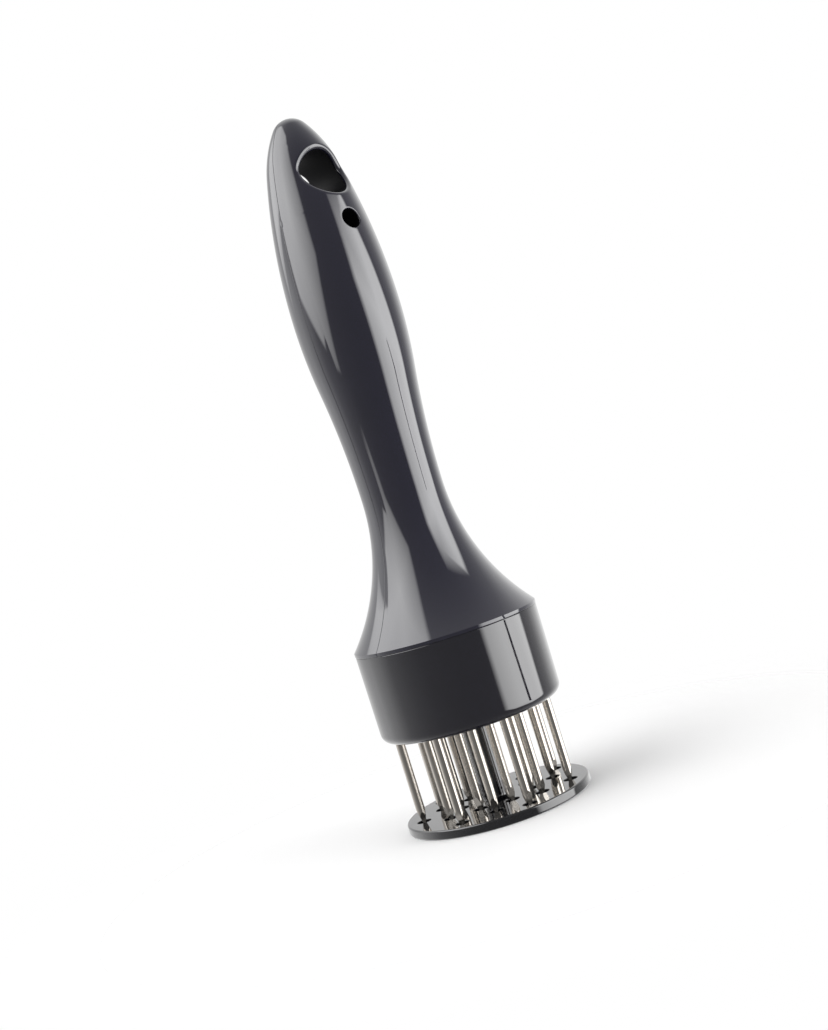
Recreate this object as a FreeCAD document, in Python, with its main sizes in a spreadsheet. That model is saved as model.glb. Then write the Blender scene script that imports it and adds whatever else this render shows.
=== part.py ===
"""Hand-held meat tenderizer with twenty-one needle blades.

A tall moulded grip in two half shells carries a round head. Inside the head a plate holds the blades
by their heads, and a collar clips on round it. Below the head a round press plate hangs on a central
stem, with a hole for every blade. Pushed on meat, the plate slides up the blades against a spring
inside the grip, and the points come out through its holes.

The frame: +Z runs up the tool's axis, Z = 0 is the underside of the press plate, on which the tool
stands, and the hanging hole through the grip runs along Y. Lengths are in millimetres.
"""

import FreeCAD, Part
import math
import os

import Sketcher
from FreeCAD import Placement, Rotation, Vector

doc = FreeCAD.newDocument("tenderizer")
sheet = doc.addObject("Spreadsheet::Sheet", "sizes")

# Driving sizes: name, value, what it is
DRIVING_SIZES = [
    ("head_radius", 26.0, "rim of the grip's bell, where it meets the collar"),
    ("collar_height", 25.0, "collar, from its lower edge to the seam"),
    ("collar_step", 0.1, "the collar stands this far inside the bell's rim"),
    ("collar_draft", 0.2, "the collar's foot is this much further inside"),
    ("collar_wall", 1.6, "collar wall above its ledge"),
    ("collar_corner", 2.6, "rounding of the collar's lower outer edge"),
    ("seam_edge", 0.25, "small bevel on each side of the seam"),
    ("ledge_height", 3.0, "ledge inside the collar's foot"),
    ("ledge_width", 1.2, "how far the ledge reaches under the needle plate"),
    ("clip_depth", 0.45, "clip bead inside the collar"),
    ("clip_height", 1.6, "height of the clip bead"),
    ("clip_drop", 6.0, "middle of the clip bead, below the seam"),
    ("moulding_play", 0.1, "gap between mouldings that fit in each other"),
    ("press_overhang", 0.1, "the press plate stands this far outside the bell's rim"),
    ("press_thickness", 2.6, "press plate"),
    ("press_edge", 0.5, "rounding of the press plate's rim"),
    ("open_gap", 23.4, "from the press plate's top to the collar, at rest"),
    ("blade_hole_play", 0.75, "gap round each blade in the press plate"),
    ("stem_radius", 4.0, "stem of the press plate"),
    ("stem_root", 1.2, "fillet at the foot of the stem"),
    ("stem_play", 0.15, "gap round the stem in its guide"),
    ("stop_gap", 0.05, "gap under the stop washer at rest"),
    ("shank_radius", 1.25, "blade shank"),
    ("point_recess", 1.2, "point above the press plate's underside, at rest"),
    ("shank_play", 0.02, "gap round a shank in the needle plate"),
    ("blade_head_radius", 1.9, "head of a blade"),
    ("blade_head_height", 1.2, "head of a blade"),
    ("blade_head_play", 0.1, "gap round and above a blade's head"),
    ("flat_length", 5.0, "two ground flats of the point"),
    ("bevel_length", 4.2, "two side bevels of the point"),
    ("point_edge", 0.3, "width left at the very tip"),
    ("ledge_gap", 0.35, "between the outer ring's blades and the collar's ledge"),
    ("guide_gap", 1.25, "between the inner ring's heads and the guide tube"),
    ("middle_ring_shift", 0.6, "middle ring of blades, outwards from half way between the others"),
    ("blades_per_ring", 7, "blades in each ring"),
    ("ring_angle", 94.5, "angle of the first blade of the outer and inner rings"),
    ("plate_thickness", 5.0, "needle plate"),
    ("guide_wall", 2.8, "guide tube for the stem, on the needle plate"),
    ("guide_rise", 12.0, "guide tube, above the needle plate"),
    ("backing_thickness", 1.5, "steel plate behind the blades' heads"),
    ("washer_thickness", 1.0, "stop washer on the stem"),
    ("washer_play", 0.5, "gap round the stop washer in the spring tube"),
    ("screw_radius", 1.5, "stem screw"),
    ("screw_length", 12.0, "stem screw, under the washer"),
    ("screw_head_radius", 2.8, "stem screw"),
    ("screw_head_height", 2.0, "stem screw"),
    ("screw_play", 0.05, "gap round the stem screw"),
    ("pilot_spare", 2.0, "depth of the stem's pilot hole past the screw"),
    ("wire_radius", 0.5, "spring wire"),
    ("coil_radius", 4.9, "spring, to the middle of its wire"),
    ("spring_turns", 9, "turns of the spring"),
    ("wire_flats", 6, "flats that stand for the round of the spring's wire, which never shows"),
    ("spring_tube_radius", 6.3, "bore of the spring tube inside the grip"),
    ("spring_tube_wall", 1.5, "spring tube"),
    ("mouth_gap", 3.0, "spring tube's mouth, above the guide tube"),
    ("web_thickness", 3.0, "web that closes the spring tube, at the waist"),
    ("rib_thickness", 1.6, "ribs between the spring tube and the grip's wall"),
    ("ribs", 6, "ribs round the spring tube"),
    ("rib_start", 9.0, "lower end of the ribs, above the seam"),
    ("grip_height", 146.5, "grip, from the seam to its tip"),
    ("rim_height", 1.0, "straight band of the bell's rim"),
    ("waist_radius", 11.5, "narrowest place of the grip"),
    ("waist_height", 39.7, "its height above the seam"),
    ("ogee_share", 0.62, "share of the rise from the waist to the bulb that bends outwards"),
    ("bulb_radius", 15.0, "widest place of the upper grip"),
    ("bulb_height", 91.5, "its height above the seam"),
    ("crown_radius", 35.5, "curve between the long shoulder and the rounded tip"),
    ("nose_radius", 5.7, "rounding of the grip's tip"),
    ("nose_angle", 55.0, "how far round that rounding reaches, from the axis"),
    ("grip_wall", 2.6, "wall of the half shells"),
    ("spigot_wall", 2.6, "wall of the spigot inside the collar"),
    ("hanging_hole_radius", 6.7, "large hole near the tip"),
    ("hanging_hole_drop", 18.2, "its centre, below the tip"),
    ("hanging_hole_edge", 1.1, "rounding of its rims"),
    ("cord_hole_radius", 2.8, "small hole under the large one"),
    ("cord_hole_drop", 14.5, "its centre, below the large one's"),
    ("cord_hole_edge", 0.35, "rounding of its rims"),
    ("cord_hole_wall", 2.5, "solid left below it, above the hollow"),
    ("dowel_radius", 1.2, "locating dowels on the rear shell"),
    ("dowel_length", 3.0, "locating dowels"),
    ("dowel_play", 0.1, "gap round and past a dowel in its socket"),
    ("boss_wall", 1.2, "boss round a socket"),
    ("low_dowel_side", 12.4, "lower dowels, to each side of the axis"),
    ("low_dowel_height", 9.0, "lower dowels, above the seam"),
    ("high_dowel_height", 78.0, "upper dowel, above the seam"),
]
for row, (alias, value, note) in enumerate(DRIVING_SIZES, start=1):
    sheet.set(f"A{row}", note)
    sheet.set(f"B{row}", str(value))
    sheet.setAlias(f"B{row}", alias)
doc.recompute()
SIZE_NAMES = {alias for alias, value, note in DRIVING_SIZES}


def as_cells(text):
    """Writes each size's name in an expression as the sheet's own cell."""
    out, word = "", ""
    for letter in str(text) + " ":
        if letter.isalnum() or letter == "_":
            word += letter
            continue
        out += f"sizes.{word}" if word in SIZE_NAMES else word
        out += letter
        word = ""
    return out.strip()


def size_of(text):
    """The present value of an expression in the sizes, as a plain number."""
    value = sheet.evalExpression(as_cells(text).replace("sizes.", ""))
    return float(getattr(value, "Value", value))


def bind(thing, field, text):
    """Binds a property or a sketch constraint to an expression in the sizes."""
    thing.setExpression(field, as_cells(text))


# Heights and radii that follow from the driving sizes
COLLAR_FOOT = "(press_thickness + open_gap)"
SEAM = f"({COLLAR_FOOT} + collar_height)"
COLLAR_OUTSIDE = "(head_radius - collar_step)"
COLLAR_INSIDE = f"({COLLAR_OUTSIDE} - collar_wall)"
PLATE_RADIUS = f"({COLLAR_INSIDE} - moulding_play)"
PLATE_FOOT = f"({COLLAR_FOOT} + ledge_height)"
PLATE_TOP = f"({PLATE_FOOT} + plate_thickness)"
BACKING_TOP = f"({PLATE_TOP} + backing_thickness)"
SPIGOT_INSIDE = f"({PLATE_RADIUS} - spigot_wall)"
GUIDE_BORE = "(stem_radius + stem_play)"
GUIDE_RADIUS = f"({GUIDE_BORE} + guide_wall)"
GUIDE_TOP = f"({PLATE_TOP} + guide_rise)"
STEM_TOP = f"({GUIDE_TOP} + stop_gap)"
LEDGE_INSIDE = f"({PLATE_RADIUS} - ledge_width)"
PRESS_RADIUS = "(head_radius + press_overhang)"
OUTER_RING = f"({LEDGE_INSIDE} - ledge_gap - shank_radius)"
INNER_RING = f"({GUIDE_RADIUS} + guide_gap + blade_head_play + blade_head_radius)"
MIDDLE_RING = f"(({OUTER_RING} + {INNER_RING}) / 2 + middle_ring_shift)"
RINGS = [(OUTER_RING, 0), (MIDDLE_RING, 0.5), (INNER_RING, 0)]
SPRING_FOOT = f"({STEM_TOP} + washer_thickness)"
SHANK_BORE = "(shank_radius + shank_play)"
BLADE_HEAD_FOOT = f"({PLATE_TOP} - blade_head_height - blade_head_play)"
CLIP_MIDDLE = f"({SEAM} - clip_drop)"
TUBE_OUTSIDE = "(spring_tube_radius + spring_tube_wall)"
TUBE_MOUTH = f"({GUIDE_TOP} + mouth_gap)"
TIP = f"({SEAM} + grip_height)"
WAIST = f"({SEAM} + waist_height)"
BULB = f"({SEAM} + bulb_height)"
HANGING_HOLE = f"({TIP} - hanging_hole_drop)"
CORD_HOLE = f"({HANGING_HOLE} - cord_hole_drop)"
HOLLOW_TOP = f"({CORD_HOLE} - cord_hole_radius - cord_hole_wall)"
BOSS_RADIUS = "(dowel_radius + dowel_play + boss_wall)"

# Radii of the grip's arcs. Each one meets the next on a tangent: the flare's centre and the ogee's
# lower one are level with the waist, the ogee's upper one and the shoulder's are level with the bulb,
# and the nose's is on the axis.
FLARE_RISE = "(waist_height - rim_height)"
FLARE_STEP = "(head_radius - waist_radius)"
FLARE_ARC = f"(({FLARE_STEP}^2 + {FLARE_RISE}^2) / (2 * {FLARE_STEP}))"
OGEE_STEP = "(bulb_radius - waist_radius)"
OGEE_RISE = "(bulb_height - waist_height)"
OGEE_ARCS = f"(({OGEE_STEP}^2 + {OGEE_RISE}^2) / (2 * {OGEE_STEP}))"
LOW_OGEE = f"({OGEE_ARCS} * ogee_share)"
HIGH_OGEE = f"({OGEE_ARCS} * (1 - ogee_share))"

# The crown's centre, inwards of the bulb's side and above the bulb, and from it the shoulder's radius
NOSE_SINE = "sin(nose_angle * 1deg)"
NOSE_COSINE = "cos(nose_angle * 1deg)"
CROWN_REACH = "(crown_radius - nose_radius)"
CROWN_STEP = f"(bulb_radius + {CROWN_REACH} * {NOSE_SINE})"
CROWN_RISE = f"(grip_height - nose_radius - bulb_height - {CROWN_REACH} * {NOSE_COSINE})"
SHOULDER_SUM = f"({CROWN_STEP}^2 + {CROWN_RISE}^2 - crown_radius^2)"
SHOULDER_ARC = f"({SHOULDER_SUM} / (2 * ({CROWN_STEP} - crown_radius)))"
CROWN_SHARE = f"({SHOULDER_ARC} / ({SHOULDER_ARC} - crown_radius))"
CROWN_JOIN = (
    f"(bulb_radius - {SHOULDER_ARC} + ({SHOULDER_ARC} - {CROWN_STEP}) * {CROWN_SHARE})",
    f"({BULB} + {CROWN_RISE} * {CROWN_SHARE})",
)
NOSE_JOIN = (
    f"(nose_radius * {NOSE_SINE})",
    f"({TIP} - nose_radius + nose_radius * {NOSE_COSINE})",
)


def new_body(name):
    return doc.addObject("PartDesign::Body", name)


def datum(body, role):
    """One of a body's own origin planes or axes."""
    return next(f for f in body.Origin.OriginFeatures if f.Role == role)


def new_sketch(body, name, plane="XZ_Plane", lift="0"):
    """An empty sketch on one of the body's origin planes, lifted along its normal."""
    sketch = body.newObject("Sketcher::SketchObject", name)
    sketch.AttachmentSupport = [(datum(body, plane), "")]
    sketch.MapMode = "FlatFace"
    if lift != "0":
        bind(sketch, "AttachmentOffset.Base.z", lift)
    return sketch


def pin_point(sketch, index, end, x, y, tag):
    """Holds one point of a sketch at the expressions x and y."""
    for kind, text, axis in (("DistanceX", x, -2), ("DistanceY", y, -1)):
        if text == "0":
            sketch.addConstraint(Sketcher.Constraint("PointOnObject", index, end, axis))
            continue
        pin = sketch.addConstraint(Sketcher.Constraint(kind, -1, 1, index, end, size_of(text)))
        sketch.renameConstraint(pin, f"{tag}_{kind[-1]}")
        bind(sketch, f"Constraints.{tag}_{kind[-1]}", text)


def set_radius(sketch, index, text, tag):
    """Holds the radius of an arc or circle at an expression."""
    radius = sketch.addConstraint(Sketcher.Constraint("Radius", index, size_of(text)))
    sketch.renameConstraint(radius, f"{tag}_R")
    bind(sketch, f"Constraints.{tag}_R", text)


def add_loop(sketch, corners, tag="p"):
    """Draws a closed loop through corners (x, y). Where a corner has a third item, the edge after it is
    an arc of that radius: it bends to the left, seen along the loop, or to the right with a fourth."""
    ends = []
    for i, corner in enumerate(corners):
        following = corners[(i + 1) % len(corners)]
        start = Vector(size_of(corner[0]), size_of(corner[1]), 0)
        stop = Vector(size_of(following[0]), size_of(following[1]), 0)
        if len(corner) == 2:
            ends.append((sketch.addGeometry(Part.LineSegment(start, stop), False), 1, 2))
            continue
        radius = size_of(corner[2])
        side = -1 if len(corner) == 4 else 1
        chord = stop - start
        reach = math.sqrt(max(radius**2 - (chord.Length / 2) ** 2, 0))
        centre = (start + stop) / 2 + Vector(-chord.y, chord.x, 0).normalize() * side * reach
        sweep = (start, stop)[::side]
        angles = [math.atan2((p - centre).y, (p - centre).x) for p in sweep]
        circle = Part.Circle(centre, Vector(0, 0, 1), radius)
        index = sketch.addGeometry(Part.ArcOfCircle(circle, *angles), False)
        ends.append((index, *(1, 2)[::side]))
        set_radius(sketch, index, corner[2], f"{tag}{i}")
    for i, (index, start, stop) in enumerate(ends):
        following = ends[(i + 1) % len(ends)]
        joint = Sketcher.Constraint("Coincident", index, stop, following[0], following[1])
        sketch.addConstraint(joint)
        pin_point(sketch, index, start, corners[i][0], corners[i][1], f"{tag}{i}")


def add_circle(sketch, x, y, radius, tag="c"):
    """Draws a circle at the expressions x and y."""
    circle = Part.Circle(Vector(size_of(x), size_of(y), 0), Vector(0, 0, 1), size_of(radius))
    index = sketch.addGeometry(circle, False)
    set_radius(sketch, index, radius, tag)
    pin_point(sketch, index, 3, x, y, tag)


def turned_body(name, corners):
    """A body made by a full turn of an outline in the XZ plane about Z."""
    body = new_body(name)
    sketch = new_sketch(body, f"{name}_outline")
    add_loop(sketch, corners)
    turn = body.newObject("PartDesign::Revolution", f"{name}_turn")
    turn.Profile = sketch
    turn.ReferenceAxis = (sketch, ["V_Axis"])
    turn.Angle = 360
    return body


def pocket(body, sketch, name, depth=None, both_ways=False):
    """A pocket from a sketch: to a depth, or right through."""
    cut = body.newObject("PartDesign::Pocket", name)
    cut.Profile = sketch
    cut.Midplane = both_ways
    if depth is None:
        cut.Type = "ThroughAll"
        return cut
    bind(cut, "Length", depth)
    return cut


def ring_spots():
    """Where the first blade of each ring stands. The middle ring is half a step round."""
    spots = []
    for radius, share in RINGS:
        angle = f"((ring_angle + {share} * 360 / blades_per_ring) * 1deg)"
        spots.append((f"({radius} * cos({angle}))", f"({radius} * sin({angle}))"))
    return spots


def blade_holes(body, name, lift, radius, depth=None):
    """A hole for the first blade of every ring, from a height downwards."""
    sketch = new_sketch(body, f"{name}_sketch", "XY_Plane", lift)
    for i, (x, y) in enumerate(ring_spots()):
        add_circle(sketch, x, y, radius, f"c{i}")
    return pocket(body, sketch, name, depth)


def repeat_round(body, name, features, count):
    """Repeats features evenly round Z."""
    pattern = body.newObject("PartDesign::PolarPattern", name)
    pattern.Originals = features
    pattern.Axis = (datum(body, "Z_Axis"), [""])
    pattern.Angle = 360
    bind(pattern, "Occurrences", count)
    body.Tip = pattern


def grip_arcs(inset):
    """The grip's long side from the bell's rim to the shoulder, moved towards the axis by inset."""
    change = f"({WAIST} + {OGEE_RISE} * ogee_share)"
    return [
        (f"(head_radius - {inset})", f"({SEAM} + rim_height)", FLARE_ARC, "right"),
        (f"(waist_radius - {inset})", WAIST, LOW_OGEE, "right"),
        (f"(waist_radius + {OGEE_STEP} * ogee_share - {inset})", change, HIGH_OGEE),
        (f"(bulb_radius - {inset})", BULB, SHOULDER_ARC),
    ]


def make_grip_form():
    """The grip's whole outside with its spigot, the collar's clip groove and both holes."""
    groove = f"({PLATE_RADIUS} - clip_depth)"
    half = "(clip_height / 2 + moulding_play)"
    outline = [
        ("0", BACKING_TOP),
        (PLATE_RADIUS, BACKING_TOP),
        (PLATE_RADIUS, f"({CLIP_MIDDLE} - {half})"),
        (groove, f"({CLIP_MIDDLE} - {half} + clip_depth)"),
        (groove, f"({CLIP_MIDDLE} + {half} - clip_depth)"),
        (PLATE_RADIUS, f"({CLIP_MIDDLE} + {half})"),
        (PLATE_RADIUS, SEAM),
        ("(head_radius - seam_edge)", SEAM),
        ("head_radius", f"({SEAM} + seam_edge)"),
        *grip_arcs("0"),
        (*CROWN_JOIN, "crown_radius"),
        (*NOSE_JOIN, "nose_radius"),
        ("0", TIP),
    ]
    body = turned_body("grip_form", outline)
    for name, height, radius, edge in (
        ("hanging_hole", HANGING_HOLE, "hanging_hole_radius", "hanging_hole_edge"),
        ("cord_hole", CORD_HOLE, "cord_hole_radius", "cord_hole_edge"),
    ):
        sketch = new_sketch(body, f"{name}_sketch")
        add_circle(sketch, "0", height, radius)
        hole = pocket(body, sketch, name, both_ways=True)
        doc.recompute()
        rims = hole_rims(hole.Shape, size_of(height), size_of(radius))
        rounding = body.newObject("PartDesign::Fillet", f"{name}_rims")
        rounding.Base = (hole, rims)
        bind(rounding, "Radius", edge)
    return body


def hole_rims(shape, height, radius):
    """The names of the edges where a hole along Y breaks through the outside."""
    names = []
    for i, edge in enumerate(shape.Edges, start=1):
        if edge.Degenerated:
            continue
        points = edge.discretize(5)
        reaches = [math.hypot(p.x, p.z - height) for p in points]
        is_seam = all(abs(p.x - points[0].x) < 1e-6 for p in points)
        if not is_seam and max(abs(reach - radius) for reach in reaches) < 1e-3:
            names.append(f"Edge{i}")
    return names


def make_lower_hollow():
    """Room for the mechanism, from the spigot's foot to the web, without the spring tube, its ribs and
    the dowel bosses that stand in it."""
    side = grip_arcs("grip_wall")
    inside = f"(waist_radius - grip_wall + {FLARE_ARC} - {SPIGOT_INSIDE})"
    start = f"({WAIST} - sqrt({FLARE_ARC}^2 - {inside}^2))"
    outline = [
        ("0", BACKING_TOP),
        (SPIGOT_INSIDE, BACKING_TOP),
        (SPIGOT_INSIDE, start, FLARE_ARC, "right"),
        (side[1][0], WAIST),
        (TUBE_OUTSIDE, WAIST),
        (TUBE_OUTSIDE, TUBE_MOUTH),
        ("spring_tube_radius", TUBE_MOUTH),
        ("spring_tube_radius", WAIST),
        ("0", WAIST),
    ]
    body = turned_body("lower_hollow", outline)
    sketch = new_sketch(body, "rib_sketch", "YZ_Plane")
    foot = f"({SEAM} + rib_start)"
    tube_middle = "(spring_tube_radius + spring_tube_wall / 2)"
    add_loop(
        sketch,
        [
            (tube_middle, foot),
            ("head_radius", foot),
            ("head_radius", f"({WAIST} + web_thickness)"),
            (tube_middle, f"({WAIST} + web_thickness)"),
        ],
    )
    rib = pocket(body, sketch, "rib", "rib_thickness", both_ways=True)
    repeat_round(body, "ribs_round_the_tube", [rib], "ribs")
    sketch = new_sketch(body, "low_boss_sketch")
    for i, side_sign in enumerate(("-", "")):
        x = f"({side_sign}low_dowel_side)"
        add_circle(sketch, x, f"({SEAM} + low_dowel_height)", BOSS_RADIUS, f"c{i}")
    body.Tip = pocket(body, sketch, "low_bosses", both_ways=True)
    return body


def make_upper_hollow():
    """The hollow above the web, with the upper dowel's boss left standing in it."""
    side = grip_arcs("grip_wall")
    web_top = f"({WAIST} + web_thickness)"
    foot = f"({side[1][0]} + {LOW_OGEE} - sqrt({LOW_OGEE}^2 - web_thickness^2))"
    rise = f"({HOLLOW_TOP} - {BULB})"
    head = f"({side[3][0]} - {SHOULDER_ARC} + sqrt({SHOULDER_ARC}^2 - {rise}^2))"
    outline = [
        ("0", web_top),
        (foot, web_top, LOW_OGEE, "right"),
        side[2],
        side[3],
        (head, HOLLOW_TOP),
        ("0", HOLLOW_TOP),
    ]
    body = turned_body("upper_hollow", outline)
    sketch = new_sketch(body, "high_boss_sketch")
    add_circle(sketch, "0", f"({SEAM} + high_dowel_height)", BOSS_RADIUS)
    pocket(body, sketch, "high_boss", both_ways=True)
    return body


def add_box(name, low, high):
    """A box between two corners, each three expressions."""
    box = doc.addObject("Part::Box", name)
    for axis, side, a, b in zip("xyz", ("Length", "Width", "Height"), low, high):
        bind(box, f"Placement.Base.{axis}", a)
        bind(box, side, f"{b} - {a}")
    return box


def join(kind, name, base, tool):
    """A boolean of two objects, under the name of the piece that it makes."""
    made = doc.addObject(f"Part::{kind}", name)
    made.Base = base
    made.Tool = tool
    return made


def dowels(name, radius, length):
    """Round pins along +Y, one at each dowel's place, that start at the joint of the shells."""
    pins = []
    for i, (x, height) in enumerate(
        (
            ("-low_dowel_side", "low_dowel_height"),
            ("low_dowel_side", "low_dowel_height"),
            ("0", "high_dowel_height"),
        )
    ):
        pin = doc.addObject("Part::Cylinder", f"{name}_{i}")
        pin.Placement = Placement(Vector(0, 0, 0), Rotation(Vector(1, 0, 0), 90))
        bind(pin, "Placement.Base.x", x)
        bind(pin, "Placement.Base.z", f"{SEAM} + {height}")
        bind(pin, "Radius", radius)
        bind(pin, "Height", length)
        pins.append(pin)
    group = doc.addObject("Part::Compound", name)
    group.Links = pins
    return group


def make_grip_shells():
    """Front and rear half shells, split at Y = 0. The rear one's dowels fit the front one's sockets."""
    hollows = doc.addObject("Part::Compound", "hollows")
    hollows.Links = [make_lower_hollow(), make_upper_hollow()]
    whole = join("Cut", "grip_whole", make_grip_form(), hollows)
    wide = "head_radius + collar_step"
    front_half = add_box("front_half", (f"-({wide})", f"-({wide})", "0"), (wide, "0", TIP))
    rear_half = add_box("rear_half", (f"-({wide})", "0", "0"), (wide, wide, TIP))
    front_plain = join("Common", "front_plain", whole, front_half)
    rear_plain = join("Common", "rear_plain", whole, rear_half)
    sockets = dowels("sockets", "dowel_radius + dowel_play", "dowel_length + dowel_play")
    pins = dowels("dowels", "dowel_radius", "dowel_length")
    front = join("Cut", "grip_front_shell", front_plain, sockets)
    rear = join("Fuse", "grip_rear_shell", rear_plain, pins)
    return [front, rear]


def make_collar():
    """Ring round the needle plate, with a ledge under it and a clip bead inside."""
    bead = f"({COLLAR_INSIDE} - clip_depth)"
    low_outside = f"({COLLAR_OUTSIDE} - collar_draft)"
    outline = [
        (LEDGE_INSIDE, COLLAR_FOOT),
        (f"({low_outside} - collar_corner)", COLLAR_FOOT, "collar_corner"),
        (low_outside, f"({COLLAR_FOOT} + collar_corner)"),
        (COLLAR_OUTSIDE, f"({SEAM} - seam_edge)"),
        (f"({COLLAR_OUTSIDE} - seam_edge)", SEAM),
        (COLLAR_INSIDE, SEAM),
        (COLLAR_INSIDE, f"({CLIP_MIDDLE} + clip_height / 2)"),
        (bead, f"({CLIP_MIDDLE} + clip_height / 2 - clip_depth)"),
        (bead, f"({CLIP_MIDDLE} - clip_height / 2 + clip_depth)"),
        (COLLAR_INSIDE, f"({CLIP_MIDDLE} - clip_height / 2)"),
        (COLLAR_INSIDE, PLATE_FOOT),
        (LEDGE_INSIDE, PLATE_FOOT),
    ]
    return turned_body("collar", outline)


def make_needle_plate():
    """Plate that holds the blades, with the stem's guide tube on it."""
    outline = [
        (GUIDE_BORE, PLATE_FOOT),
        (PLATE_RADIUS, PLATE_FOOT),
        (PLATE_RADIUS, PLATE_TOP),
        (GUIDE_RADIUS, PLATE_TOP),
        (GUIDE_RADIUS, GUIDE_TOP),
        (GUIDE_BORE, GUIDE_TOP),
    ]
    body = turned_body("needle_plate", outline)
    bores = blade_holes(body, "shank_bores", PLATE_TOP, SHANK_BORE)
    depth = f"({PLATE_TOP} - {BLADE_HEAD_FOOT})"
    seats = blade_holes(body, "head_seats", PLATE_TOP, "(blade_head_radius + blade_head_play)", depth)
    repeat_round(body, "blade_seats", [bores, seats], "blades_per_ring")
    return body


def make_backing_plate():
    """Steel ring that keeps the blades down in their seats."""
    inside = f"({GUIDE_RADIUS} + moulding_play)"
    outline = [
        (inside, PLATE_TOP),
        (f"({PLATE_RADIUS} - moulding_play)", PLATE_TOP),
        (f"({PLATE_RADIUS} - moulding_play)", BACKING_TOP),
        (inside, BACKING_TOP),
    ]
    return turned_body("backing_plate", outline)


def make_press_plate():
    """Round plate with its stem, the screw's pilot hole and a hole for every blade."""
    rim = f"({PRESS_RADIUS} - press_edge)"
    pilot = "(screw_radius + screw_play)"
    pilot_foot = f"({STEM_TOP} - screw_length - pilot_spare)"
    outline = [
        ("0", "0"),
        (rim, "0", "press_edge"),
        (PRESS_RADIUS, "press_edge"),
        (PRESS_RADIUS, "(press_thickness - press_edge)", "press_edge"),
        (rim, "press_thickness"),
        ("(stem_radius + stem_root)", "press_thickness", "stem_root", "right"),
        ("stem_radius", "(press_thickness + stem_root)"),
        ("stem_radius", STEM_TOP),
        (pilot, STEM_TOP),
        (pilot, pilot_foot),
        ("0", pilot_foot),
    ]
    body = turned_body("press_plate", outline)
    radius = "(shank_radius + blade_hole_play)"
    holes = blade_holes(body, "blade_holes", "press_thickness", radius)
    repeat_round(body, "all_blade_holes", [holes], "blades_per_ring")
    return body


def make_stop_washer():
    """Washer on the stem: it stops the press plate's fall on the guide tube and carries the spring."""
    outside = "(spring_tube_radius - washer_play)"
    inside = "(screw_radius + screw_play)"
    outline = [
        (inside, STEM_TOP),
        (outside, STEM_TOP),
        (outside, SPRING_FOOT),
        (inside, SPRING_FOOT),
    ]
    return turned_body("stop_washer", outline)


def make_stem_screw():
    """Pan-head screw that holds the washer on the stem."""
    head_top = f"({SPRING_FOOT} + screw_head_height)"
    crown = "(screw_head_height / 2)"
    outline = [
        ("0", f"({STEM_TOP} - screw_length)"),
        ("screw_radius", f"({STEM_TOP} - screw_length)"),
        ("screw_radius", SPRING_FOOT),
        ("screw_head_radius", SPRING_FOOT),
        ("screw_head_radius", f"({head_top} - {crown})", crown),
        (f"(screw_head_radius - {crown})", head_top),
        ("0", head_top),
    ]
    return turned_body("stem_screw", outline)


def make_blade():
    """One blade, upright on the Z axis: head, shank, and a point with two flats and two bevels."""
    point = "point_recess"
    outline = [
        ("0", point),
        ("shank_radius", point),
        ("shank_radius", BLADE_HEAD_FOOT),
        ("blade_head_radius", BLADE_HEAD_FOOT),
        ("blade_head_radius", f"({BLADE_HEAD_FOOT} + blade_head_height)"),
        ("0", f"({BLADE_HEAD_FOOT} + blade_head_height)"),
    ]
    body = turned_body("blade", outline)
    clear = "(2 * shank_radius)"
    for plane, length in (("XZ_Plane", "flat_length"), ("YZ_Plane", "bevel_length")):
        for name, sign in (("left", "-"), ("right", "")):
            sketch = new_sketch(body, f"{name}_{length}_sketch", plane)
            corners = [
                (f"({sign}point_edge / 2)", point),
                (f"({sign}{clear})", f"({point} - point_edge)"),
                (f"({sign}{clear})", f"({point} + {length} * 2)"),
                (f"({sign}shank_radius)", f"({point} + {length})"),
            ]
            add_loop(sketch, corners)
            pocket(body, sketch, f"{name}_{length}", both_ways=True)
    return body


def make_blades():
    """Twenty-one blades in three rings, each a copy of one blade, with its flats facing outwards."""
    blank = make_blade()
    per_ring = int(size_of("blades_per_ring"))
    blades = []
    for radius, share in RINGS:
        for i in range(per_ring):
            angle = f"((ring_angle + {i + share} * 360 / blades_per_ring) * 1deg)"
            copy = doc.addObject("Part::Compound", f"needle_{len(blades) + 1:02d}")
            copy.Links = [blank]
            copy.Placement = Placement(Vector(0, 0, 0), Rotation(Vector(0, 0, 1), 1))
            bind(copy, "Placement.Rotation.Angle", f"{angle}")
            bind(copy, "Placement.Base.x", f"{radius} * cos({angle})")
            bind(copy, "Placement.Base.y", f"{radius} * sin({angle})")
            blades.append(copy)
    return blades


def helix_point(radius, pitch, turns):
    """A point of the spring's centre line and its direction, after so many turns."""
    angle = 2 * math.pi * turns
    point = Vector(radius * math.cos(angle), radius * math.sin(angle), pitch * turns)
    way = Vector(-radius * math.sin(angle), radius * math.cos(angle), pitch / (2 * math.pi))
    return point, way.normalize()


def arc_from(start, corner, stop):
    """The arc that leaves start towards corner and reaches stop, as far from corner as start is."""
    middle = (start + stop) / 2
    half_chord = (stop - start).Length / 2
    half_turn = math.acos(half_chord / (corner - start).Length)
    bulge = (corner - middle).normalize() * half_chord * math.tan(half_turn / 2)
    return Part.Arc(start, middle + bulge, stop).toShape()


def biarc(start, way_out, stop, way_in):
    """Two arcs that meet on a tangent and join two points of the helix in its own directions."""
    across = stop - start
    ways = way_out + way_in
    spread = 2 * (1 - way_out.dot(way_in))
    lean = across.dot(ways)
    reach = (math.sqrt(lean**2 + spread * across.dot(across)) - lean) / spread
    meet = (start + stop + (way_out - way_in) * reach) / 2
    return [
        arc_from(start, start + way_out * reach, meet),
        arc_from(meet, stop - way_in * reach, stop),
    ]


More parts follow.
